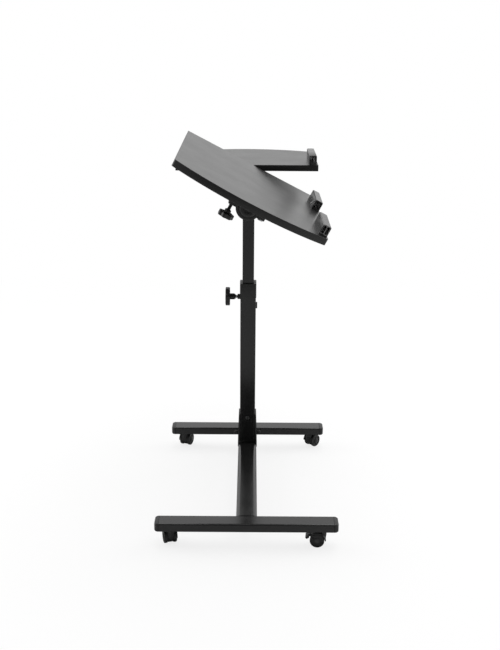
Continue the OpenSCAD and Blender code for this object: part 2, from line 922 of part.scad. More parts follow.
// Half section of a wheel: bore on the left, tread on the right, dished on its outer side
module wheel_profile(w) {
    bore = axle_d / 2 + run_gap;
    dish = wheel_r * dish_share;
    polygon([[bore, 0], [wheel_r - tread_r, 0], [wheel_r, tread_r], [wheel_r, w - tread_r],
             [wheel_r - tread_r, w], [dish, w], [dish - dish_depth, w - dish_depth], [bore, w - dish_depth]]);
}

// The brake pedal snaps onto the knuckle with a pin of its own
pedal_w = 20;
pedal_ear_w = 3;
pedal_gap = 0.3;
pedal_reach = 9;
pedal_lap = 1;
pedal_t = 3;

module pedal(i) {
    color(plastic_black) at_caster(i) translate([0, knuckle_y, knuckle_z]) {
        bar_x(pedal_pin_d / 2, knuckle_w + 2 * pedal_gap + 2 * pedal_ear_w);
        for (s = side_pair()) translate([s * (knuckle_w / 2 + pedal_gap + pedal_ear_w / 2), 0, 0])
            along_x(pedal_ear_w) union() {
                circle(d = 2 * pedal_pin_d);
                polygon([[0, -pedal_pin_d], [pedal_reach / 2, -pedal_pin_d * 2], [pedal_reach / 2, 0],
                         [0, pedal_pin_d]]);
            }
        along_x(pedal_w) polygon([[pedal_reach / 2 - pedal_lap, -2 * pedal_pin_d],
                                  [pedal_reach, -3 * pedal_pin_d],
                                  [pedal_reach + pedal_t, -3 * pedal_pin_d + pedal_t],
                                  [pedal_reach / 2 + pedal_lap, (pedal_t - pedal_pin_d) / 2],
                                  [pedal_reach / 2 - pedal_lap, (pedal_t - pedal_pin_d) / 2]]);
    }
}

stem_flange_d = 17;

module caster_stems() {
    color(zinc) for (i = [0:3]) translate([side_sign[i] * stem_x, rail_of(i), 0]) {
        translate([0, 0, caster_h - stem_flange_t]) cylinder(d = stem_flange_d, h = stem_flange_t);
        translate([0, 0, pin_foot + slide_gap])
            cylinder(d = stem_d, h = caster_h + tube_wall + caster_nut_h + bolt_out - pin_foot - slide_gap);
    }
}

caster_nut_h = 6.5;

module caster_nuts() {
    color(zinc) for (i = [0:3]) translate([side_sign[i] * stem_x, rail_of(i), caster_h + tube_wall])
        hex_nut(nut_d, caster_nut_h, stem_d + 2 * run_gap);
}

module near_left_hood() { hood(0, true); }
module near_right_hood() { hood(1, true); }
module far_left_hood() { hood(2, false); }
module far_right_hood() { hood(3, false); }
module near_left_axle() { axle(0); }
module near_right_axle() { axle(1); }
module far_left_axle() { axle(2); }
module far_right_axle() { axle(3); }
module near_left_wheel_a() { wheel(0, -1); }
module near_left_wheel_b() { wheel(0, 1); }
module near_right_wheel_a() { wheel(1, -1); }
module near_right_wheel_b() { wheel(1, 1); }
module far_left_wheel_a() { wheel(2, -1); }
module far_left_wheel_b() { wheel(2, 1); }
module far_right_wheel_a() { wheel(3, -1); }
module far_right_wheel_b() { wheel(3, 1); }
module near_left_pedal() { pedal(0); }
module near_right_pedal() { pedal(1); }

near_rail();
far_rail();
rail_end_caps();
cross_tube();
cross_tube_end_plates();
rail_bolts();
foot_bracket();
lower_column();
foot_bolt();
foot_nut();
column_collar();
clamp_nut();
caster_stems();
caster_nuts();
height_knob();
height_knob_stud();
upper_column();
upper_column_guide();
beam();
beam_end_plugs();
side_panel();
side_panel_edging();
side_saddles();
side_saddle_bolts();
side_saddle_screws();
side_stop();
side_stop_screws();
main_panel();
main_panel_edging();
clamp_bracket();
clamp_bracket_cap();
clamp_ear_bolt();
bearing_bracket();
bearing_bracket_cap();
bearing_ear_bolts();
bracket_bushes();
bracket_screws();
main_stops();
main_stop_screws();
tilt_knob();
tilt_knob_stud();
near_left_hood();
near_right_hood();
far_left_hood();
far_right_hood();
near_left_axle();
near_right_axle();
far_left_axle();
far_right_axle();
near_left_wheel_a();
near_left_wheel_b();
near_right_wheel_a();
near_right_wheel_b();
far_left_wheel_a();
far_left_wheel_b();
far_right_wheel_a();
far_right_wheel_b();
near_left_pedal();
near_right_pedal();
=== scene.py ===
"""Looks of the rolling laptop table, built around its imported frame.

Sizes are in millimetres until a piece is placed, and every piece sits where the frame has its node.
"""

import json
import logging
import math
from dataclasses import dataclass
from enum import Enum
from typing import Callable, Sequence

import bmesh
import bpy
from mathutils import Matrix, Vector

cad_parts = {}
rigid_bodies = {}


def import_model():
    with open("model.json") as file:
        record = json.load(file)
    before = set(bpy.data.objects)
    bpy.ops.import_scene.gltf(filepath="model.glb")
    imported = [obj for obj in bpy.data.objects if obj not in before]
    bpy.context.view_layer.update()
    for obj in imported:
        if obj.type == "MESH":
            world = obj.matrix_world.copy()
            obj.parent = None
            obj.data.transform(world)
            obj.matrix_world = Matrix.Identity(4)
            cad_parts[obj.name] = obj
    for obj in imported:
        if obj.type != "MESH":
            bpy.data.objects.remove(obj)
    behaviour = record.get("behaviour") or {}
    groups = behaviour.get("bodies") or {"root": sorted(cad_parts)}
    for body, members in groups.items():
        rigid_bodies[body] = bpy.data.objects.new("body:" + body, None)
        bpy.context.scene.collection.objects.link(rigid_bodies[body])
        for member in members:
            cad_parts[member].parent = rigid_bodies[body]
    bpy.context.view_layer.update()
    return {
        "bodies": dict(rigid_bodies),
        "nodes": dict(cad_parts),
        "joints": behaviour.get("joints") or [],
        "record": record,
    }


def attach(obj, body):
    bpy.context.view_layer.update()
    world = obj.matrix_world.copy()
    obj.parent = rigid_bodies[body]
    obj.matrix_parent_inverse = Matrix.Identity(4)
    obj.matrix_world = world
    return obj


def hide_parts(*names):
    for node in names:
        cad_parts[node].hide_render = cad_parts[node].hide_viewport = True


MM = 0.001
X_AXIS = (1.0, 0.0, 0.0)
Y_AXIS = (0.0, 1.0, 0.0)
Z_AXIS = (0.0, 0.0, 1.0)

log = logging.getLogger("laptop_table")

Point2 = tuple[float, float]
Point3 = tuple[float, float, float]


class Slot(Enum):
    """The record's material slots."""

    POWDER_COAT = "powder_coat"
    BLACK_BOLTS = "black_bolts"
    ZINC_STEEL = "zinc_steel"
    BOARD_TOP = "board_top"
    BOARD_EDGE = "board_edge"
    STOP_PLASTIC = "stop_plastic"
    MOULDED_PLASTIC = "moulded_plastic"
    WHEEL_PLASTIC = "wheel_plastic"


class Grain(Enum):
    """Kinds of fine relief on a surface."""

    ORANGE_PEEL = "orange_peel"
    PEBBLE = "pebble"
    SPARK = "spark"
    DRAWN = "drawn"


# Finishes


def new_group(name: str, inputs: Sequence[tuple[str, str, object]],
              outputs: Sequence[tuple[str, str]]) -> bpy.types.NodeTree:
    """Makes an empty shader node group with named sockets.

    Args:
        name: name of the group.
        inputs: name, socket kind and first value of each input.
        outputs: name and socket kind of each output.

    Returns:
        The group, with its input and output nodes in place.
    """
    tree = bpy.data.node_groups.new(name, "ShaderNodeTree")
    for label, kind, value in inputs:
        socket = tree.interface.new_socket(name=label, in_out="INPUT", socket_type=kind)
        if value is not None:
            socket.default_value = value
    for label, kind in outputs:
        tree.interface.new_socket(name=label, in_out="OUTPUT", socket_type=kind)
    tree.nodes.new("NodeGroupInput").name = "In"
    tree.nodes.new("NodeGroupOutput").name = "Out"
    return tree


def added(tree: bpy.types.NodeTree, kind: str, inputs: dict[str | int, object] | None = None,
          **marks: str) -> bpy.types.Node:
    """Adds a shader node and feeds its sockets.

    Args:
        tree: the tree it goes in.
        kind: the node's type, without its first word.
        inputs: a value, or the output to link, for each socket by name or number.
        marks: values of its own settings.

    Returns:
        The node.
    """
    node = tree.nodes.new(f"ShaderNode{kind}")
    for name, value in marks.items():
        setattr(node, name, value)
    for key, value in (inputs or {}).items():
        if isinstance(value, bpy.types.NodeSocket):
            tree.links.new(value, node.inputs[key])
        else:
            node.inputs[key].default_value = value
    return node


@dataclass(frozen=True)
class ReliefGroup:
    """A fine relief, shared by every finish: a height to bump with and a mask of its hollows."""

    detail: float = 3.0
    coarse: float = 0.55
    pebble_share: float = 0.75
    drawn_stretch: float = 0.03
    hollow_from: float = 0.35
    hollow_full: float = 0.65

    def build(self, grain: Grain) -> bpy.types.NodeTree:
        """Builds the group for one kind of relief.

        Args:
            grain: the kind of relief.

        Returns:
            The node group.
        """
        name = f"relief_{grain.value}"
        if name in bpy.data.node_groups:
            return bpy.data.node_groups[name]
        tree = new_group(
            name,
            [("Vector", "NodeSocketVector", None), ("Per Metre", "NodeSocketFloat", 500.0)],
            [("Height", "NodeSocketFloat"), ("Hollows", "NodeSocketFloat")],
        )
        links, source, out = tree.links, tree.nodes["In"].outputs, tree.nodes["Out"].inputs
        along = self.drawn_stretch if grain is Grain.DRAWN else 1.0
        stretch = added(tree, "Mapping", {"Scale": (1.0, along, 1.0), "Vector": source["Vector"]})
        spread = {"Vector": stretch.outputs["Vector"], "Scale": source["Per Metre"]}
        noise = added(tree, "TexNoise", {"Detail": self.detail, "Roughness": self.coarse, **spread})
        height = noise.outputs["Fac"]
        if grain in (Grain.PEBBLE, Grain.ORANGE_PEEL):
            cells = added(tree, "TexVoronoi", spread, feature="SMOOTH_F1")
            share = self.pebble_share if grain is Grain.PEBBLE else 1 - self.pebble_share
            mix = added(tree, "Mix", {"Factor": share, "A": height, "B": cells.outputs["Distance"]})
            height = mix.outputs["Result"]
        hollows = added(tree, "MapRange", {"From Min": self.hollow_from, "From Max": self.hollow_full,
                                           "Value": height})
        links.new(height, out["Height"])
        links.new(hollows.outputs["Result"], out["Hollows"])
        return tree


@dataclass(frozen=True)
class HandlingGroup:
    """Slow changes that use leaves on a surface: paler, duller patches and faint rubbed streaks."""

    patch_per_metre: float = 14.0
    streak_per_metre: float = 90.0
    patch_detail: float = 4.0
    streak_detail: float = 2.0
    streak_squeeze: float = 0.18
    worn_from: float = 0.15
    worn_full: float = 0.4

    def build(self) -> bpy.types.NodeTree:
        """Builds the group once and returns it."""
        name = "handling"
        if name in bpy.data.node_groups:
            return bpy.data.node_groups[name]
        tree = new_group(
            name,
            [("Vector", "NodeSocketVector", None), ("Colour", "NodeSocketColor", (0, 0, 0, 1)),
             ("Worn Colour", "NodeSocketColor", (0, 0, 0, 1)), ("Roughness", "NodeSocketFloat", 0.4),
             ("Spread", "NodeSocketFloat", 0.06), ("Hollows", "NodeSocketFloat", 0.5)],
            [("Colour", "NodeSocketColor"), ("Roughness", "NodeSocketFloat")],
        )
        links, source, out = tree.links, tree.nodes["In"].outputs, tree.nodes["Out"].inputs
        patches = added(tree, "TexNoise", {"Scale": self.patch_per_metre, "Detail": self.patch_detail,
                                           "Vector": source["Vector"]})
        squeeze = added(tree, "Mapping", {"Scale": (self.streak_squeeze, 1.0, self.streak_squeeze),
                                          "Vector": source["Vector"]})
        streaks = added(tree, "TexNoise", {"Scale": self.streak_per_metre, "Detail": self.streak_detail,
                                           "Vector": squeeze.outputs["Vector"]})
        both = added(tree, "Math", {0: patches.outputs["Fac"], 1: streaks.outputs["Fac"]},
                     operation="MULTIPLY")
        worn = added(tree, "MapRange", {"From Min": self.worn_from, "From Max": self.worn_full,
                                        "Value": both.outputs["Value"]})
        tone = added(tree, "Mix", {"Factor": worn.outputs["Result"], 6: source["Colour"],
                                   7: source["Worn Colour"]}, data_type="RGBA")
        gloss = added(tree, "MapRange", {"To Min": -1.0, "To Max": 1.0, "Value": patches.outputs["Fac"]})
        swing = added(tree, "Math", {0: gloss.outputs["Result"], 1: source["Spread"],
                                     2: source["Roughness"]}, operation="MULTIPLY_ADD")
        dull = added(tree, "Math", {0: source["Hollows"], 1: source["Spread"],
                                    2: swing.outputs["Value"]}, operation="MULTIPLY_ADD")
        links.new(tone.outputs[2], out["Colour"])
        links.new(dull.outputs["Value"], out["Roughness"])
        return tree


@dataclass(frozen=True)
class Finish:
    """One finish of the table.

    Attributes:
        slot: the record's material slot.
        tone: grey level of the surface.
        warmth: how much redder than blue the grey is.
        worn: grey level of rubbed patches.
        roughness: mean roughness.
        spread: how far the roughness swings.
        grain: kind of fine relief.
        per_metre: how many grains stand on a metre.
        depth: height of the relief, in millimetres.
        metallic: 1 for bare metal.
    """

    slot: Slot
    tone: float
    worn: float
    roughness: float
    grain: Grain
    per_metre: float
    depth: float
    warmth: float = 0.0
    spread: float = 0.05
    metallic: float = 0.0

    def colour(self, level: float) -> tuple[float, float, float, float]:
        """Gives a grey level its warmth."""
        return (level * (1 + self.warmth), level, level * (1 - self.warmth), 1.0)

    def build(self) -> bpy.types.Material:
        """Builds the finish as a material.

        Returns:
            The material.
        """
        material = bpy.data.materials.new(self.slot.value)
        material.use_nodes = True
        tree = material.node_tree
        links, shader = tree.links, tree.nodes["Principled BSDF"]
        shader.inputs["Metallic"].default_value = self.metallic
        place = added(tree, "TexCoord").outputs["Object"]
        relief = added(tree, "Group")
        relief.node_tree = ReliefGroup().build(self.grain)
        relief.inputs["Per Metre"].default_value = self.per_metre
        use = added(tree, "Group")
        use.node_tree = HandlingGroup().build()
        use.inputs["Colour"].default_value = self.colour(self.tone)
        use.inputs["Worn Colour"].default_value = self.colour(self.worn)
        use.inputs["Roughness"].default_value = self.roughness
        use.inputs["Spread"].default_value = self.spread
        bump = added(tree, "Bump", {"Distance": self.depth * MM, "Strength": 1.0,
                                    "Height": relief.outputs["Height"]})
        for group in (relief, use):
            links.new(place, group.inputs["Vector"])
        links.new(relief.outputs["Hollows"], use.inputs["Hollows"])
        links.new(use.outputs["Colour"], shader.inputs["Base Color"])
        links.new(use.outputs["Roughness"], shader.inputs["Roughness"])
        links.new(bump.outputs["Normal"], shader.inputs["Normal"])
        return material


FINISHES = (
    Finish(Slot.POWDER_COAT, tone=0.0085, worn=0.011, roughness=0.17, grain=Grain.ORANGE_PEEL,
           per_metre=520.0, depth=0.005),
    Finish(Slot.BLACK_BOLTS, tone=0.045, worn=0.07, roughness=0.3, grain=Grain.SPARK,
           per_metre=1500.0, depth=0.01, metallic=0.6),
    Finish(Slot.ZINC_STEEL, tone=0.52, worn=0.6, roughness=0.27, grain=Grain.DRAWN,
           per_metre=2600.0, depth=0.01, warmth=-0.015, metallic=1.0),
    Finish(Slot.BOARD_TOP, tone=0.013, worn=0.017, roughness=0.3, grain=Grain.PEBBLE,
           per_metre=900.0, depth=0.02),
    Finish(Slot.BOARD_EDGE, tone=0.009, worn=0.012, roughness=0.38, grain=Grain.SPARK,
           per_metre=1100.0, depth=0.015),
    Finish(Slot.STOP_PLASTIC, tone=0.012, worn=0.016, roughness=0.24, grain=Grain.SPARK,
           per_metre=1300.0, depth=0.02),
    Finish(Slot.MOULDED_PLASTIC, tone=0.012, worn=0.017, roughness=0.43, grain=Grain.SPARK,
           per_metre=1200.0, depth=0.03),
    Finish(Slot.WHEEL_PLASTIC, tone=0.016, worn=0.024, roughness=0.46, grain=Grain.SPARK,
           per_metre=1400.0, depth=0.02),
)


# Shapes in the making


class Blank:
    """A form in millimetres that bmesh operators shape until it is placed."""

    def __init__(self) -> None:
        """Starts with an empty form."""
        self.bm = bmesh.new()

    @classmethod
    def turned(cls, profile: Sequence[Point2], steps: int = 48, ring: bool = False) -> "Blank":
        """Turns a profile round Z.

        Args:
            profile: radius and height of each point.
            steps: facets in a full turn.
            ring: whether the last point joins the first.

        Returns:
            The turned form.
        """
        form = cls()
        points = [form.bm.verts.new((radius, 0.0, height)) for radius, height in profile]
        pairs = list(zip(points, points[1:])) + ([(points[-1], points[0])] if ring else [])
        edges = [form.bm.edges.new(pair) for pair in pairs]
        bmesh.ops.spin(form.bm, geom=points + edges, cent=(0, 0, 0), axis=Z_AXIS, dvec=(0, 0, 0),
                       angle=2 * math.pi, steps=steps, use_merge=True)
        return form.cleaned()

    @classmethod
    def threaded(cls, diameter: float, pitch: float, length: float) -> "Blank":
        """A length of screw thread along Z, from its start at Z = 0."""
        depth = 0.6 * pitch
        crest, root = diameter / 2, diameter / 2 - depth
        form = cls()
        profile = ((root, 0.0), (crest, 0.42 * pitch), (crest, 0.58 * pitch), (root, pitch))
        points = [form.bm.verts.new((radius, 0.0, height)) for radius, height in profile]
        edges = [form.bm.edges.new(pair) for pair in zip(points, points[1:])]
        turns = max(1, math.floor(length / pitch) - 1)
        steps = 20
        bmesh.ops.spin(form.bm, geom=points + edges, cent=(0, 0, 0), axis=Z_AXIS,
                       dvec=(0, 0, pitch / steps), angle=2 * math.pi * turns, steps=steps * turns)
        bmesh.ops.remove_doubles(form.bm, verts=form.bm.verts[:], dist=1e-3)
        rim = [edge for edge in form.bm.edges if edge.is_boundary]
        bmesh.ops.holes_fill(form.bm, edges=rim, sides=0)
        core = ((0.0, 0.0), (root, 0.0), (root, length - depth), (root - depth, length), (0.0, length))
        return form.cleaned().joined(cls.turned(core, 24))

    @classmethod
    def block(cls, size: Point3, centre: Point3 = (0.0, 0.0, 0.0)) -> "Blank":
        """A block of a size about a centre."""
        form = cls()
        bmesh.ops.create_cube(form.bm, size=1.0)
        return form.placed(Matrix.Translation(centre) @ Matrix.Diagonal((*size, 1.0)))

    @classmethod
    def from_node(cls, node: bpy.types.Object) -> "Blank":
        """A merged copy of a frame node, with its flat faces whole again."""
        form = cls()
        form.bm.from_mesh(node.data)
        form.placed(Matrix.Scale(1 / MM, 4))
        bmesh.ops.remove_doubles(form.bm, verts=form.bm.verts[:], dist=2e-3)
        bmesh.ops.dissolve_limit(form.bm, angle_limit=math.radians(0.6), verts=form.bm.verts[:],
                                 edges=form.bm.edges[:])
        return form

    def cleaned(self) -> "Blank":
        """Merges doubles and turns the faces outwards."""
        bmesh.ops.remove_doubles(self.bm, verts=self.bm.verts[:], dist=1e-3)
        bmesh.ops.recalc_face_normals(self.bm, faces=self.bm.faces[:])
        return self

    def raised(self, thick: float) -> "Blank":
        """Gives flat faces a thickness along Z."""
        flat = self.bm.faces[:]
        grown = bmesh.ops.extrude_face_region(self.bm, geom=flat, use_keep_orig=True)
        top = [item for item in grown["geom"] if isinstance(item, bmesh.types.BMVert)]
        bmesh.ops.translate(self.bm, verts=top, vec=(0, 0, thick))
        return self.cleaned()

    def rounded(self, width: float, segments: int = 2, least: float = 30.0,
                keep: Callable[[bmesh.types.BMEdge], bool] = lambda edge: True) -> "Blank":
        """Rounds the sharp edges.

        Args:
            width: width of the rounding.
            segments: facets in it.
            least: the least angle between faces, in degrees, at an edge that is rounded.
            keep: says which sharp edges to round.

        Returns:
            The same form.
        """
        sharp = [edge for edge in self.bm.edges
                 if edge.is_manifold and edge.calc_face_angle(0.0) > math.radians(least) and keep(edge)]
        bmesh.ops.bevel(self.bm, geom=sharp, affect="EDGES", offset=width, segments=segments,
                        profile=0.5, material=-1, clamp_overlap=True)
        return self

    def placed(self, matrix: Matrix) -> "Blank":
        """Moves the form."""
        bmesh.ops.transform(self.bm, matrix=matrix, verts=self.bm.verts[:])
        if matrix.determinant() < 0:
            bmesh.ops.reverse_faces(self.bm, faces=self.bm.faces[:])
        return self

    def moved(self, x: float = 0.0, y: float = 0.0, z: float = 0.0) -> "Blank":
        """Slides the form."""
        return self.placed(Matrix.Translation((x, y, z)))

    def facing(self, direction: Point3) -> "Blank":
        """Turns the form's Z towards a direction."""
        return self.placed(Vector(Z_AXIS).rotation_difference(Vector(direction)).to_matrix().to_4x4())

    def joined(self, *others: "Blank") -> "Blank":
        """Takes other forms into this one."""
        for other in others:
            scrap = bpy.data.meshes.new("scrap")
            other.bm.to_mesh(scrap)
            other.bm.free()
            self.bm.from_mesh(scrap)
            bpy.data.meshes.remove(scrap)
        return self

    def reshaped(self, rule: Callable[[Vector], Vector]) -> "Blank":
        """Moves every point to where a rule puts it."""
        for vert in self.bm.verts:
            vert.co = rule(vert.co)
        return self


def shown(name: str, data: bpy.types.ID) -> bpy.types.Object:
    """Puts a new object with this data in the scene."""
    made = bpy.data.objects.new(name, data)
    bpy.context.scene.collection.objects.link(made)
    return made


def gathered(forms: Sequence[Blank]) -> Blank:
    """One form made of several."""
    return Blank().joined(*forms)


def star_factor(angle: float, sides: int, waist: float) -> float:
    """How far out a recess reaches at an angle: a polygon for a waist of 1, a cross for less."""
    step = 2 * math.pi / sides
    off = (angle + step / 2) % step - step / 2
    flat = math.cos(step / 2) / math.cos(abs(off) - step / 2 if waist < 1 else off)
    return flat if waist >= 1 else waist + (1 - waist) * math.cos(abs(off) * sides / 2) ** 4


class Workshop:
    """Turns blanks into finished pieces of the model and dresses the frame's own nodes."""

    def __init__(self, frame: dict) -> None:
        """Takes the loaded frame and builds every finish."""
        self.nodes: dict[str, bpy.types.Object] = frame["nodes"]
        self.finishes = {finish.slot: finish.build() for finish in FINISHES}

    def piece(self, name: str, form: Blank, slot: Slot, body: str, replaces: Sequence[str] = (),
              smooth: float = 34.0) -> bpy.types.Object:
        """Places a finished form.

        Args:
            name: name of the new object.
            form: the form, in millimetres and in the frame's axes.
            slot: its finish.
            body: the body it rides on.
            replaces: frame nodes that it stands for.
            smooth: the angle between faces, in degrees, below which shading is smooth.

        Returns:
            The new object.
        """
        form.placed(Matrix.Scale(MM, 4))
        mesh = bpy.data.meshes.new(name)
        form.bm.to_mesh(mesh)
        form.bm.free()
        mesh.shade_smooth()
        mesh.set_sharp_from_angle(angle=math.radians(smooth))
        mesh.materials.append(self.finishes[slot])
        made = shown(name, mesh)
        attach(made, body)
        if replaces:
            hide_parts(*replaces)
        log.info("%s: %d faces, on %s", name, len(mesh.polygons), body)
        return made

    def dress(self, slot: Slot, *names: str) -> None:
        """Gives frame nodes a finish."""
        for name in names:
            mesh = self.nodes[name].data
            mesh.materials.clear()
            mesh.materials.append(self.finishes[slot])

    def eased(self, name: str, width: float, slot: Slot, body: str, segments: int = 2,
              keep: Callable[[bmesh.types.BMEdge], bool] = lambda edge: True) -> bpy.types.Object:
        """Replaces a frame node by a copy with eased edges."""
        form = Blank.from_node(self.nodes[name]).rounded(width, segments, keep=keep)
        return self.piece(f"{name}_eased", form, slot, body, [name])


# Sub-assemblies


@dataclass(frozen=True)
class Fasteners:
    """Heads, nuts and screws that several sub-assemblies use."""

    head_d: float = 11.0
    head_h: float = 3.3
    socket_d: float = 4.6
    socket_depth: float = 2.0
    dome_foot: float = 0.3
    lip: float = 0.25
    drill_tip: float = 0.4
    thread_ease: float = 0.4
    wood_head_d: float = 8.0
    wood_head_h: float = 2.4
    wood_shank_d: float = 4.0
    wood_tip_d: float = 2.8
    wood_tip: float = 2.0
    cross_d: float = 4.2
    cross_depth: float = 1.5
    cross_waist: float = 0.42

    def socketed(self, form: Blank, reach: float, sides: int, waist: float = 1.0) -> Blank:
        """Turns the round recess in a head into a hexagon or a cross."""
        def rule(co: Vector) -> Vector:
            """Pulls a point of the recess in to its outline."""
            if math.hypot(co.x, co.y) > reach + 0.01:
                return co
            factor = star_factor(math.atan2(co.y, co.x), sides, waist)
            return Vector((co.x * factor, co.y * factor, co.z))
        return form.reshaped(rule)

    def button(self, shank_d: float, shank: float) -> Blank:
        """A domed head with a hexagon socket on Z = 0, its shank below."""
        d, h, s = self.head_d / 2, self.head_h, self.socket_d / 2
        floor = h - self.socket_depth
        foot, tip = self.dome_foot, floor - self.drill_tip
        dome = [(d * math.cos(a), foot + (h - foot) * math.sin(a)) for a in (0.0, 0.3, 0.6, 0.9, 1.15)]
        profile = [(0.0, -shank), (shank_d / 2, -shank), (shank_d / 2, 0.0), (d, 0.0), *dome,
                   (s + foot, h), (s, h - self.lip), (s, floor), (s * 0.5, tip), (0.0, tip)]
        return self.socketed(Blank.turned(profile, 48), s, 6)

    def hexagon(self, across: float, height: float, bore: float) -> Blank:
        """A hexagon nut on Z = 0 with chamfered corners."""
        corner = across / 2 / math.cos(math.pi / 6)
        ease = (corner - across / 2) * 0.55
        soft = self.thread_ease
        profile = [(bore / 2, soft), (bore / 2 + soft, 0.0), (across / 2, 0.0), (corner, ease),
                   (corner, height - ease), (across / 2, height), (bore / 2 + soft, height),
                   (bore / 2, height - soft)]
        form = Blank.turned(profile, 48, ring=True)

        def rule(co: Vector) -> Vector:
            """Cuts a point of the round form back to the flats."""
            radius = math.hypot(co.x, co.y)
            if radius < across / 2 + 0.05:
                return co
            limit = corner * star_factor(math.atan2(co.y, co.x), 6, 1.0)
            factor = min(radius, limit) / radius
            return Vector((co.x * factor, co.y * factor, co.z))
        return form.reshaped(rule)

    def wood_screw(self, shank: float) -> Blank:
        """A pan head under Z = 0 with a cross recess, its shank above."""
        d, h, s = self.wood_head_d / 2, self.wood_head_h, self.cross_d / 2
        r, deep = self.wood_shank_d / 2, self.cross_depth - h
        profile = [(0.0, shank), (self.wood_tip_d / 2, shank), (r, shank - self.wood_tip), (r, 0.0),
                   (d, 0.0), (d, -h / 6), (d * 0.94, -h / 2), (d * 0.75, -h * 0.85), (s + 0.2, -h),
                   (s, 0.1 * self.cross_depth - h), (s, 0.6 * self.cross_depth - h), (s * 0.4, deep),
                   (0.0, deep)]
        return self.socketed(Blank.turned(profile, 48), s, 4, waist=self.cross_waist)


@dataclass
class Base:
    """Two foot rails with their caps, the cross tube and its bolts, and the column's bracket."""

    shop: Workshop
    near_y: float = -380.5
    far_y: float = 129.5
    rail_z: float = 50.0
    rail_w: float = 40.0
    rail_h: float = 20.0
    tube_half: float = 190.0
    cap_len: float = 10.0
    cap_plan_r: float = 8.5
    cap_edge_r: float = 3.4
    seam: float = 0.7
    bolt_x: float = 29.5
    cross_half: float = 232.0
    bolt_d: float = 6.0
    rail_bolt_shank: float = 4.0
    foot_bolt_spare: float = 6.0
    foot_nut_across: float = 10.0
    foot_nut_h: float = 5.0
    nut_bore: float = 6.2
    neck_len: float = 2.0
    neck_play: float = 1.2
    neck_r: float = 3.0
    column_y: float = 39.5
    column_half: float = 19.0
    web_t: float = 3.0
    foot_bolt_z: float = 128.0

    def cap(self) -> Blank:
        """One end cap, pointing to +X from the tube's end, with a hairline seam at the tube."""
        shell = Blank.block((self.cap_len - self.seam, self.rail_w, self.rail_h),
                            ((self.cap_len + self.seam) / 2, 0, 0))
        upright = [edge for edge in shell.bm.edges
                   if all(vert.co.x > self.cap_len / 2 for vert in edge.verts)
                   and abs(edge.verts[0].co.z - edge.verts[1].co.z) > self.rail_h / 2]
        bmesh.ops.bevel(shell.bm, geom=upright, affect="EDGES", offset=self.cap_plan_r, segments=10,
                        profile=0.5, material=-1)
        shell.rounded(self.cap_edge_r, 6, 60.0, keep=lambda edge: any(
            vert.co.x > self.seam + 0.1 for vert in edge.verts))
        neck = Blank.block((self.neck_len, self.rail_w - self.neck_play, self.rail_h - self.neck_play))
        neck.rounded(self.neck_r, 4)
        return shell.joined(neck)

    def build(self) -> None:
        """Builds the base's pieces."""
        caps = [self.cap().moved(self.tube_half).placed(Matrix.Rotation(turn, 4, "Z"))
                .moved(0, y, self.rail_z)
                for y in (self.near_y, self.far_y) for turn in (0.0, math.pi)]
        self.shop.piece("rail_cap_mouldings", gathered(caps), Slot.MOULDED_PLASTIC, "base",
                        ["rail_end_caps"])
        fasteners = Fasteners()
        middle = (self.near_y + self.far_y) / 2
        bolts = [fasteners.button(self.bolt_d, self.rail_bolt_shank).facing((0, -side, 0))
                 .moved(x, middle + side * self.cross_half, self.rail_z)
                 for side in (-1, 1) for x in (-self.bolt_x, self.bolt_x)]
        self.shop.piece("rail_button_bolts", gathered(bolts), Slot.BLACK_BOLTS, "base", ["rail_bolts"])
        reach = 2 * self.column_half + self.web_t + self.foot_bolt_spare
        bolt = fasteners.button(self.bolt_d, reach).facing((0, -1, 0))
        bolt.moved(0, self.column_y - self.column_half, self.foot_bolt_z)
        self.shop.piece("foot_button_bolt", bolt, Slot.BLACK_BOLTS, "base", ["foot_bolt"])
        nut = fasteners.hexagon(self.foot_nut_across, self.foot_nut_h, self.nut_bore).facing(Y_AXIS)
        nut.moved(0, self.column_y + self.column_half + self.web_t, self.foot_bolt_z)
        self.shop.piece("foot_hexagon_nut", nut, Slot.ZINC_STEEL, "base", ["foot_nut"])
        self.shop.eased("cross_tube_end_plates", 0.5, Slot.POWDER_COAT, "base")
        self.shop.eased("foot_bracket", 0.6, Slot.POWDER_COAT, "base")
        self.shop.eased("caster_stems", 0.35, Slot.ZINC_STEEL, "base")
        self.shop.dress(Slot.POWDER_COAT, "near_rail", "far_rail", "cross_tube", "lower_column")
        self.shop.dress(Slot.ZINC_STEEL, "caster_nuts")


@dataclass
class Column:
    """The collar between the two tubes, the weld nut, and what the upper tube carries inside."""

    shop: Workshop
    column_y: float = 39.5
    wall_x: float = 19.0
    knob_z: float = 443.0
    nut_d: float = 13.0
    nut_h: float = 7.0
    bore_d: float = 8.1
    nut_ease: float = 0.7

    def build(self) -> None:
        """Builds the column's pieces."""
        self.shop.eased("column_collar", 0.9, Slot.MOULDED_PLASTIC, "base", 3)
        half, bore, ease = self.nut_d / 2, self.bore_d / 2, self.nut_ease
        nut = Blank.turned([(bore, 0.0), (half, 0.0), (half, self.nut_h - ease),
                            (half - ease, self.nut_h), (bore + ease, self.nut_h),
                            (bore, self.nut_h - ease)], 48, ring=True)
        nut.facing((-1, 0, 0)).moved(-self.wall_x, self.column_y, self.knob_z)
        self.shop.piece("clamp_weld_nut", nut, Slot.BLACK_BOLTS, "base", ["clamp_nut"])
        self.shop.dress(Slot.POWDER_COAT, "upper_column")
        self.shop.dress(Slot.MOULDED_PLASTIC, "upper_column_guide")


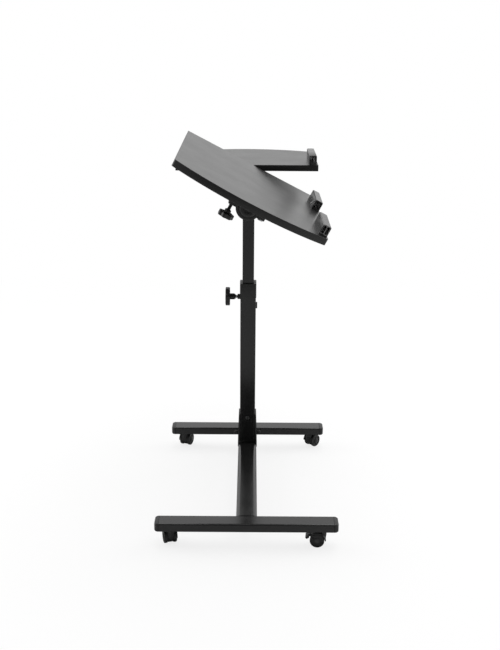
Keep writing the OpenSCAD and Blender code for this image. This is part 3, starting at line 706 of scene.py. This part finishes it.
@dataclass
class LobedKnob:
    """A lobed hand knob with a hub, and the threaded stud moulded into it."""

    shop: Workshop
    label: str
    diameter: float
    hub_h: float
    stud_len: float
    at: Matrix
    plate_t: float = 11.0
    lobes: int = 7
    waist: float = 0.86
    hub_d: float = 14.0
    seat: float = 8.0
    stud_d: float = 8.0
    stud_slot: Slot = Slot.ZINC_STEEL
    pitch: float = 1.25
    dimple_share: float = 0.62
    dimple: float = 2.0
    dimple_slope: float = 1.6
    edge_r: float = 2.0
    rib_t: float = 1.6
    rib_out: float = 2.2
    rib_share: float = 0.8

    def plate(self) -> Blank:
        """The lobed plate, its dimpled face on Z = 0."""
        form = Blank()
        bmesh.ops.create_circle(form.bm, cap_ends=True, segments=self.lobes * 14,
                                radius=self.diameter / 2)

        def lobe(co: Vector) -> Vector:
            """Draws the round outline in between the lobes."""
            wave = 0.5 + 0.5 * math.cos(self.lobes * math.atan2(co.y, co.x))
            factor = self.waist + (1 - self.waist) * wave ** 0.7
            return Vector((co.x * factor, co.y * factor, co.z))
        form.reshaped(lobe).raised(self.plate_t)
        form.rounded(self.edge_r, 4, 60.0)
        face = min(form.bm.faces, key=lambda item: (item.normal.z, -item.calc_area()))
        brim = self.diameter / 2 * self.dimple_share
        for radius, sunk in ((brim, 0.0), (brim - self.dimple_slope, self.dimple)):
            bmesh.ops.inset_region(form.bm, faces=[face], thickness=0.1)
            for vert in face.verts:
                spoke = Vector((vert.co.x, vert.co.y, 0.0)).normalized() * radius
                vert.co = (spoke.x, spoke.y, sunk)
        return form

    def hub(self) -> Blank:
        """The ribbed hub, from the plate to the stud."""
        half, root, top = self.hub_d / 2, self.plate_t - 0.5, self.plate_t + self.hub_h
        bore = self.stud_d / 2 + 0.15
        core = Blank.turned([(bore, root), (half + 1.2, root), (half + 1.2, self.plate_t),
                             (half - 0.4, self.plate_t + 1.4), (half - 1.0, top - 1.0),
                             (half - 1.6, top), (bore, top)], 48, ring=True)
        rib_h = self.hub_h * self.rib_share
        ribs = [Blank.block((self.rib_out, self.rib_t, rib_h), (half - 0.6, 0, self.plate_t + rib_h / 2))
                .rounded(0.4).placed(Matrix.Rotation(2 * math.pi * turn / self.lobes, 4, "Z"))
                for turn in range(self.lobes)]
        return core.joined(*ribs)

    def build(self) -> None:
        """Builds the knob and its stud."""
        drop = self.plate_t + self.hub_h
        body = gathered([self.plate(), self.hub()]).moved(z=-drop).placed(self.at)
        self.shop.piece(f"{self.label}_moulding", body, Slot.MOULDED_PLASTIC, self.label, [self.label])
        stud = Blank.threaded(self.stud_d, self.pitch, self.stud_len).moved(z=-self.seat)
        self.shop.piece(f"{self.label}_threaded_stud", stud.placed(self.at), self.stud_slot, self.label,
                        [f"{self.label}_stud"])


@dataclass
class Top:
    """Both panels, their edge strips and stops, and the beam with all that holds them on it."""

    shop: Workshop
    axis: Point3 = (0.0, 39.5, 705.0)
    tilt: float = 27.5
    under: float = 32.0
    beam_r: float = 19.0
    beam_near: float = -174.5
    beam_far: float = 345.5
    plug_dome: float = 4.0
    flange_t: float = 4.0
    flange_x: float = 34.0
    flange_y: float = 7.0
    clamp_y: float = -194.0
    bearing_y: float = 56.0
    saddle_y: tuple[float, float] = (151.0, 279.0)
    ear_x: float = 36.0
    ear_top: float = 11.0
    stop_half: float = 62.5
    stop_inset: float = 22.0
    main_stops: tuple[Point2, ...] = ((147.0, -295.5), (147.0, -36.5))
    side_stops: tuple[Point2, ...] = ((157.0, 153.0),)
    edge_round: float = 0.75
    strip_segments: int = 3
    flange_screw_in: float = 9.0
    stop_screw_len: float = 19.0
    ear_bolt_d: float = 7.9
    ear_pitch: float = 1.25
    ear_bolt_spare: float = 6.5
    ear_head: Point2 = (12.4, 4.0)
    ear_head_bore: float = 0.4
    ear_nut: Point2 = (13.0, 6.5)
    ear_nut_bore: float = 7.6
    saddle_bolt_d: float = 6.0
    saddle_bolt_in: float = 9.0
    plug_in: float = 14.0
    plug_play: float = 1.8

    def main_place(self) -> Matrix:
        """From the tilting panel's own axes to the frame's."""
        return Matrix.Translation(self.axis) @ Matrix.Rotation(math.radians(self.tilt), 4, "Y")

    def side_place(self) -> Matrix:
        """From the fixed panel's own axes to the frame's."""
        return Matrix.Translation(self.axis)

    def edge_strip(self, node: str, body: str, place: Matrix) -> None:
        """Replaces an edge strip by one whose outer edges are rounded."""
        form = Blank.from_node(self.shop.nodes[node]).placed(place.inverted())
        middle = sum((vert.co for vert in form.bm.verts), Vector()) / len(form.bm.verts)

        def outer(edge: bmesh.types.BMEdge) -> bool:
            """Says whether a level edge lies on the strip's outer wall."""
            walls = [face for face in edge.link_faces if abs(face.normal.z) < 0.5]
            level = abs(edge.verts[0].co.z - edge.verts[1].co.z) < 0.1
            away = (edge.verts[0].co + edge.verts[1].co) / 2 - middle
            return level and len(walls) == 1 and walls[0].normal.dot(away) > 0
        form.rounded(self.edge_round, self.strip_segments, 60.0, keep=outer).placed(place)
        self.shop.piece(f"{node}_rounded", form, Slot.BOARD_EDGE, body, [node])

    def screws(self, node: str, body: str, place: Matrix, spots: Sequence[Point3], shank: float) -> None:
        """Replaces a set of wood screws."""
        screws = [Fasteners().wood_screw(shank).moved(*spot) for spot in spots]
        self.shop.piece(f"{node}_crosshead", gathered(screws).placed(place), Slot.ZINC_STEEL, body,
                        [node])

    def flange_spots(self, places: Sequence[float]) -> list[Point3]:
        """Where the screws of the flanges at these places stand."""
        return [(x, y + dy, self.under - self.flange_t) for y in places
                for x in (-self.flange_x, self.flange_x) for dy in (-self.flange_y, self.flange_y)]

    def stop_spots(self, places: Sequence[Point2]) -> list[Point3]:
        """Where the screws of the stops at these places stand."""
        reach = self.stop_half - self.stop_inset
        return [(x, y + dy, self.under) for x, y in places for dy in (-reach, reach)]

    def ear_bolts(self, node: str, spots: Sequence[Point2]) -> None:
        """Replaces the bolts that draw a bracket's two halves together."""
        forms = []
        for x, y in spots:
            head = Fasteners().hexagon(*self.ear_head, self.ear_head_bore)
            head.moved(x, y, -self.ear_top - self.ear_head[1])
            reach = 2 * self.ear_top + self.ear_bolt_spare
            shank = Blank.threaded(self.ear_bolt_d, self.ear_pitch, reach)
            nut = Fasteners().hexagon(*self.ear_nut, self.ear_nut_bore)
            forms += [head, shank.moved(x, y, -self.ear_top - 0.2), nut.moved(x, y, self.ear_top)]
        self.shop.piece(f"{node}_hexagon", gathered(forms).placed(self.main_place()), Slot.ZINC_STEEL,
                        "main_top", [node])

    def build(self) -> None:
        """Builds the top's pieces."""
        main, side, shop = self.main_place(), self.side_place(), self.shop
        shop.dress(Slot.BOARD_TOP, "main_panel", "side_panel")
        self.edge_strip("main_panel_edging", "main_top", main)
        self.edge_strip("side_panel_edging", "mast", side)
        shop.eased("main_stops", 0.45, Slot.STOP_PLASTIC, "main_top")
        shop.eased("side_stop", 0.45, Slot.STOP_PLASTIC, "mast")
        for node in ("clamp_bracket", "clamp_bracket_cap", "bearing_bracket", "bearing_bracket_cap"):
            shop.eased(node, 0.8, Slot.MOULDED_PLASTIC, "main_top")
        shop.eased("side_saddles", 0.8, Slot.MOULDED_PLASTIC, "mast")
        shop.dress(Slot.MOULDED_PLASTIC, "bracket_bushes")
        shop.dress(Slot.POWDER_COAT, "beam")
        flange_screw, stop_screw = self.flange_t + self.flange_screw_in, self.stop_screw_len
        self.screws("bracket_screws", "main_top", main,
                    self.flange_spots((self.clamp_y, self.bearing_y)), flange_screw)
        self.screws("side_saddle_screws", "mast", side, self.flange_spots(self.saddle_y), flange_screw)
        self.screws("main_stop_screws", "main_top", main, self.stop_spots(self.main_stops), stop_screw)
        self.screws("side_stop_screws", "mast", side, self.stop_spots(self.side_stops), stop_screw)
        self.ear_bolts("clamp_ear_bolt", [(self.ear_x, self.clamp_y)])
        self.ear_bolts("bearing_ear_bolts", [(x, self.bearing_y) for x in (-self.ear_x, self.ear_x)])
        reach = self.beam_r + self.under + self.saddle_bolt_in
        bolts = [Fasteners().button(self.saddle_bolt_d, reach).facing((0, 0, -1))
                 .moved(0, y, -self.beam_r) for y in self.saddle_y]
        shop.piece("saddle_button_bolts", gathered(bolts).placed(side), Slot.ZINC_STEEL, "mast",
                   ["side_saddle_bolts"])
        r, dome, inner = self.beam_r, self.plug_dome, self.beam_r - self.plug_play
        plug = [(0.0, -self.plug_in), (inner, -self.plug_in), (inner, 0.0), (r, 0.0), (r, dome * 0.35)]
        plug += [(r - dome * (1 - math.cos(a)), dome * (0.35 + 0.65 * math.sin(a)))
                 for a in (0.5, 1.0, 1.57)]
        plug += [(r * 0.55, dome), (r * 0.5, dome - 0.5), (0.0, dome - 0.5)]
        plugs = [Blank.turned(plug, 48).facing((0, sign, 0)).moved(0, y, self.axis[2])
                 for sign, y in ((-1, self.beam_near), (1, self.beam_far))]
        shop.piece("beam_domed_plugs", gathered(plugs), Slot.MOULDED_PLASTIC, "mast",
                   ["beam_end_plugs"])


@dataclass
class Caster:
    """A twin-wheel caster: hood, axle, two wheels and, near the sitter, a brake pedal."""

    shop: Workshop
    label: str
    x: float
    y: float
    turn: float
    braked: bool
    wheel_r: float = 16.0
    wheel_w: float = 7.7
    web_w: float = 12.0
    web_lift: float = 1.5
    side_gap: float = 0.5
    trail: float = 11.0
    hood_in: float = 17.0
    hood_out: float = 19.5
    hood_start: float = 48.0
    hood_end: float = 176.0
    notch_start: float = 128.0
    notch_half: float = 8.0
    neck_r: float = 9.0
    hood_top: float = 37.7
    web_ease: float = 0.8
    rib_len: float = 19.0
    rib_y: float = 1.5
    neck_foot: float = 24.0
    stem_hole_r: float = 4.05
    stem_hole_deep: float = 3.0
    wheel_bore_r: float = 2.55
    axle_r: float = 2.45
    axle_cap_r: float = 4.9
    knuckle_r: float = 3.0
    knuckle_half: float = 2.0
    knuckle_back: float = 2.0
    knuckle_up: float = 11.0
    spokes: int = 6
    spoke: Point3 = (4.8, 1.5, 1.2)

    def place(self) -> Matrix:
        """From the caster's own axes, with the axle towards +Y, to the frame's."""
        swing = Matrix.Rotation(math.radians(-self.turn), 4, "Z")
        return Matrix.Translation((self.x, self.y, 0)) @ swing

    def total_w(self) -> float:
        """Width over both wheels."""
        return self.web_w + 2 * (self.side_gap + self.wheel_w + 0.3)

    def fender(self) -> Blank:
        """The arched cover over both wheels, with a notch towards the stem."""
        form = Blank()
        bmesh.ops.create_grid(form.bm, x_segments=24, y_segments=30, size=0.5)
        half = self.total_w() / 2
        thick = self.hood_out - self.hood_in

        def arch(co: Vector) -> Vector:
            """Bends the flat grid over the wheels."""
            across = 2 * co.x * half
            deep = max(0.0, 1 - abs(across) / self.notch_half)
            end = self.hood_end + (self.notch_start - self.hood_end) * deep
            angle = math.radians(self.hood_start + (end - self.hood_start) * (co.y + 0.5))
            return Vector((across, self.trail + self.hood_in * math.cos(angle),
                           self.wheel_r + self.hood_in * math.sin(angle)))
        form.reshaped(arch)
        axle = Vector((0, self.trail, self.wheel_r))
        grown = bmesh.ops.extrude_face_region(form.bm, geom=form.bm.faces[:], use_keep_orig=True)
        for vert in (item for item in grown["geom"] if isinstance(item, bmesh.types.BMVert)):
            away = Vector((0, vert.co.y - axle.y, vert.co.z - axle.z)).normalized()
            vert.co += away * thick
        return form.cleaned().rounded(0.8, 3, 50.0)

    def frame_forms(self) -> Blank:
        """The web between the wheels and the socket for the stem."""
        web_r, w, ease = self.wheel_r - self.web_lift, self.web_w, self.web_ease
        web = Blank.turned([(0.0, 0.0), (web_r - ease, 0.0), (web_r, ease), (web_r, w - ease),
                            (web_r - ease, w), (0.0, w)], 40)
        web.moved(z=-self.web_w / 2).facing(X_AXIS).moved(0, self.trail, self.wheel_r)
        height = self.hood_top - self.wheel_r
        rib = Blank.block((w, self.rib_len, height), (0, self.rib_y, self.wheel_r + height / 2))
        rib.rounded(1.0, 2)
        r, top, foot, hole = self.neck_r, self.hood_top, self.neck_foot, self.stem_hole_r
        floor = top - self.stem_hole_deep
        neck = Blank.turned([(0.0, foot), (r - 1.5, foot), (r, foot + 1.5), (r, top - ease),
                             (r - ease, top), (hole, top), (hole, floor), (0.0, floor)], 40)
        return web.joined(rib, neck)

    def knuckle(self) -> Blank:
        """The lug that the pedal turns on."""
        y, z = self.trail + self.wheel_r - self.knuckle_back, self.wheel_r + self.knuckle_up
        r, half = self.knuckle_r, self.knuckle_half
        eye = Blank.turned([(0.0, -half), (r, -half), (r, half), (0.0, half)], 24).facing(X_AXIS)
        arm = Blank.block((2 * half, y - self.trail, 2 * r), (0, (self.trail + y) / 2, z))
        return arm.rounded(0.4).joined(eye.moved(0, y, z))

    def wheel(self) -> Blank:
        """A wheel about Z with its outer face up: rounded tread, dished face and six low spokes."""
        r, w, bore = self.wheel_r, self.wheel_w, self.wheel_bore_r
        profile = [(bore, 0.0), (r - 1.6, 0.0), (r - 0.5, 0.4), (r, 1.5), (r, w - 1.9),
                   (r - 0.5, w - 0.7), (r - 1.7, w - 0.05), (r - 2.6, w), (r - 3.4, w - 0.5), (r - 3.8, w - 1.5),
                   (r - 8.2, w - 1.5), (r - 8.6, w - 0.3), (r - 9.2, w), (bore, w)]
        rim = Blank.turned(profile, 64, ring=True)
        spokes = [Blank.block(self.spoke, (r - 6.0, 0, w - 1.1)).rounded(0.3)
                  .placed(Matrix.Rotation(2 * math.pi * turn / self.spokes, 4, "Z"))
                  for turn in range(self.spokes)]
        return rim.joined(*spokes)

    def axle_form(self) -> Blank:
        """The axle across the caster, with a domed cap at each end."""
        half, rod, cap = self.total_w() / 2, self.axle_r, self.axle_cap_r
        end = [(rod, half), (cap, half), (cap, half + 0.4), (cap * 0.7, half + 1.0), (0.0, half + 1.0)]
        start = [(radius, -height) for radius, height in reversed(end)]
        return Blank.turned(start + end, 40).facing(X_AXIS)

    def build(self) -> None:
        """Builds the caster."""
        body = f"{self.label}_caster"
        place = self.place()
        hood = gathered([self.fender(), self.frame_forms()] + ([self.knuckle()] if self.braked else []))
        self.shop.piece(f"{self.label}_hood_moulding", hood.placed(place), Slot.MOULDED_PLASTIC, body,
                        [f"{self.label}_hood"])
        axle = self.axle_form().moved(0, self.trail, self.wheel_r).placed(place)
        self.shop.piece(f"{self.label}_capped_axle", axle, Slot.BLACK_BOLTS, body,
                        [f"{self.label}_axle"])
        for side, mark in ((-1, "a"), (1, "b")):
            node = f"{self.label}_wheel_{mark}"
            start = side * (self.web_w / 2 + self.side_gap)
            form = self.wheel().facing((side, 0, 0)).moved(start, self.trail, self.wheel_r)
            self.shop.piece(f"{node}_moulding", form.placed(place), Slot.WHEEL_PLASTIC, node, [node])
        if self.braked:
            self.shop.eased(f"{self.label}_pedal", 0.4, Slot.MOULDED_PLASTIC, f"{self.label}_pedal")


@dataclass
class Table:
    """The whole table: its sub-assemblies, with the knobs and casters at their places."""

    shop: Workshop
    hub_x: float = -30.5
    height_knob: Point3 = (46.0, 14.0, 24.2)
    tilt_knob: Point3 = (37.0, 8.0, 52.0)
    tilt_hub_z: float = -25.0
    stem_x: float = 166.0
    near_turns: Point2 = (-15.0, -84.0)
    far_turns: Point2 = (20.0, 42.0)

    def casters(self, end: str, y: float, turns: Point2, braked: bool) -> None:
        """Builds the two casters of a rail, left and right."""
        for side, sign, turn in zip(("left", "right"), (-1, 1), turns):
            Caster(self.shop, f"{end}_{side}", sign * self.stem_x, y, turn, braked).build()

    def build(self) -> None:
        """Builds every sub-assembly."""
        base, column, top = Base(self.shop), Column(self.shop), Top(self.shop)
        base.build()
        column.build()
        top.build()
        hub = Matrix.Translation((self.hub_x, base.column_y, column.knob_z))
        place = hub @ Matrix.Rotation(math.pi / 2, 4, "Y")
        LobedKnob(self.shop, "height_knob", *self.height_knob, place).build()
        place = top.main_place() @ Matrix.Translation((-top.ear_x, top.clamp_y, self.tilt_hub_z))
        LobedKnob(self.shop, "tilt_knob", *self.tilt_knob, place, stud_slot=Slot.BLACK_BOLTS).build()
        self.casters("near", base.near_y, self.near_turns, True)
        self.casters("far", base.far_y, self.far_turns, False)


@dataclass(frozen=True)
class Softbox:
    """A soft square lamp, with its places in metres."""

    name: str
    at: Point3
    aim: Point3
    width: float
    power: float

    def build(self) -> None:
        """Hangs the lamp."""
        lamp = bpy.data.lights.new(self.name, "AREA")
        lamp.shape = "SQUARE"
        lamp.size = self.width
        lamp.energy = self.power
        holder = shown(self.name, lamp)
        holder.location = self.at
        holder.rotation_euler = (Vector(self.aim) - Vector(self.at)).to_track_quat("-Z", "Y").to_euler()


@dataclass
class Studio:
    """Pale floor, soft light and the camera."""

    camera_at: Point3 = (5.0, -2316.9, 1139.0)
    pitch_down: float = 18.09
    roll: float = 0.35
    lens: float = 72.0
    sensor: float = 36.0
    sight: float = 200.0
    floor_reach: float = 60.0
    floor_glow: float = 0.8
    glow_from: float = 0.7
    glow_full: float = 2.0
    floor_seen: float = 0.95
    floor_tone: float = 0.6
    floor_rough: float = 0.9
    floor_sheen: float = 0.1
    sky_front: float = 0.16
    sky_from: float = -0.9
    sky_full: float = 0.7
    lamps: tuple[Softbox, ...] = (
        Softbox("overhead", (0.3, 0.4, 3.0), (0.0, 0.0, 0.4), 2.2, 38.0),
        Softbox("left_fill", (-2.6, 0.6, 1.4), (0.0, 0.0, 0.5), 1.6, 22.0),
        Softbox("right_fill", (2.8, 0.8, 1.2), (0.0, 0.0, 0.4), 1.6, 22.0),
    )

    def floor_paint(self) -> bpy.types.Material:
        """A pale paint that the camera sees whiter, and quite white away from the table."""
        material = bpy.data.materials.new("pale_floor")
        material.use_nodes = True
        tree = material.node_tree
        links, paint = tree.links, tree.nodes["Principled BSDF"]
        paint.inputs["Roughness"].default_value = self.floor_rough
        paint.inputs["Specular IOR Level"].default_value = self.floor_sheen
        glow = added(tree, "Emission")
        seen = added(tree, "LightPath").outputs["Is Camera Ray"]
        tone = added(tree, "MapRange", {"To Min": self.floor_tone, "To Max": self.floor_seen,
                                        "Value": seen})
        links.new(tone.outputs["Result"], paint.inputs["Base Color"])
        place = added(tree, "TexCoord")
        reach = added(tree, "VectorMath", {0: place.outputs["Object"]}, operation="LENGTH")
        fade = added(tree, "MapRange", {"From Min": self.glow_from, "From Max": self.glow_full,
                                        "To Min": self.floor_glow, "To Max": 1.0,
                                        "Value": reach.outputs["Value"]})
        share = added(tree, "Math", {0: seen, 1: fade.outputs["Result"]}, operation="MULTIPLY")
        mix = added(tree, "MixShader", {"Fac": share.outputs["Value"], 1: paint.outputs["BSDF"],
                                        2: glow.outputs["Emission"]})
        links.new(mix.outputs["Shader"], tree.nodes["Material Output"].inputs["Surface"])
        return material

    def floor(self) -> None:
        """A wide pale floor that keeps the shadow under the table."""
        form = Blank()
        bmesh.ops.create_grid(form.bm, x_segments=1, y_segments=1, size=self.floor_reach)
        mesh = bpy.data.meshes.new("floor")
        form.bm.to_mesh(mesh)
        form.bm.free()
        mesh.materials.append(self.floor_paint())
        shown("floor", mesh)

    def world(self) -> None:
        """A pale surround: white to the camera, brighter behind the table than in front of it."""
        world = bpy.data.worlds.new("surround")
        bpy.context.scene.world = world
        world.use_nodes = True
        tree = world.node_tree
        links, sky = tree.links, tree.nodes["Background"]
        sky.inputs["Strength"].default_value = 1.0
        place = added(tree, "TexCoord")
        split = added(tree, "SeparateXYZ", {"Vector": place.outputs["Generated"]})
        fade = added(tree, "MapRange", {"From Min": self.sky_from, "From Max": self.sky_full,
                                        "To Min": self.sky_front, "To Max": 1.0,
                                        "Value": split.outputs["Y"]}, interpolation_type="SMOOTHSTEP")
        links.new(fade.outputs["Result"], sky.inputs["Color"])
        white = added(tree, "Background", {"Color": (1, 1, 1, 1)})
        seen = added(tree, "LightPath")
        mix = added(tree, "MixShader", {"Fac": seen.outputs["Is Camera Ray"],
                                        1: sky.outputs["Background"], 2: white.outputs["Background"]})
        links.new(mix.outputs["Shader"], tree.nodes["World Output"].inputs["Surface"])

    def camera(self) -> None:
        """The camera, at the photograph's height, pitch and lens."""
        data = bpy.data.cameras.new("camera")
        data.lens = self.lens
        data.sensor_fit = "HORIZONTAL"
        data.sensor_width = self.sensor
        data.clip_end = self.sight
        eye = shown("camera", data)
        eye.matrix_world = (Matrix.Translation(Vector(self.camera_at) * MM)
                            @ Matrix.Rotation(math.radians(90 - self.pitch_down), 4, "X")
                            @ Matrix.Rotation(math.radians(self.roll), 4, "Z"))
        bpy.context.scene.camera = eye

    def build(self) -> None:
        """Sets up the whole studio."""
        self.camera()
        self.floor()
        self.world()
        for lamp in self.lamps:
            lamp.build()
        bpy.context.scene.view_settings.view_transform = "Standard"


def main() -> None:
    """Builds the table around its frame, then the studio."""
    logging.basicConfig(level=logging.INFO, format="%(message)s")
    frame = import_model()
    Table(Workshop(frame)).build()
    Studio().build()
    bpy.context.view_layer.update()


if __name__ == "__main__":
    main()
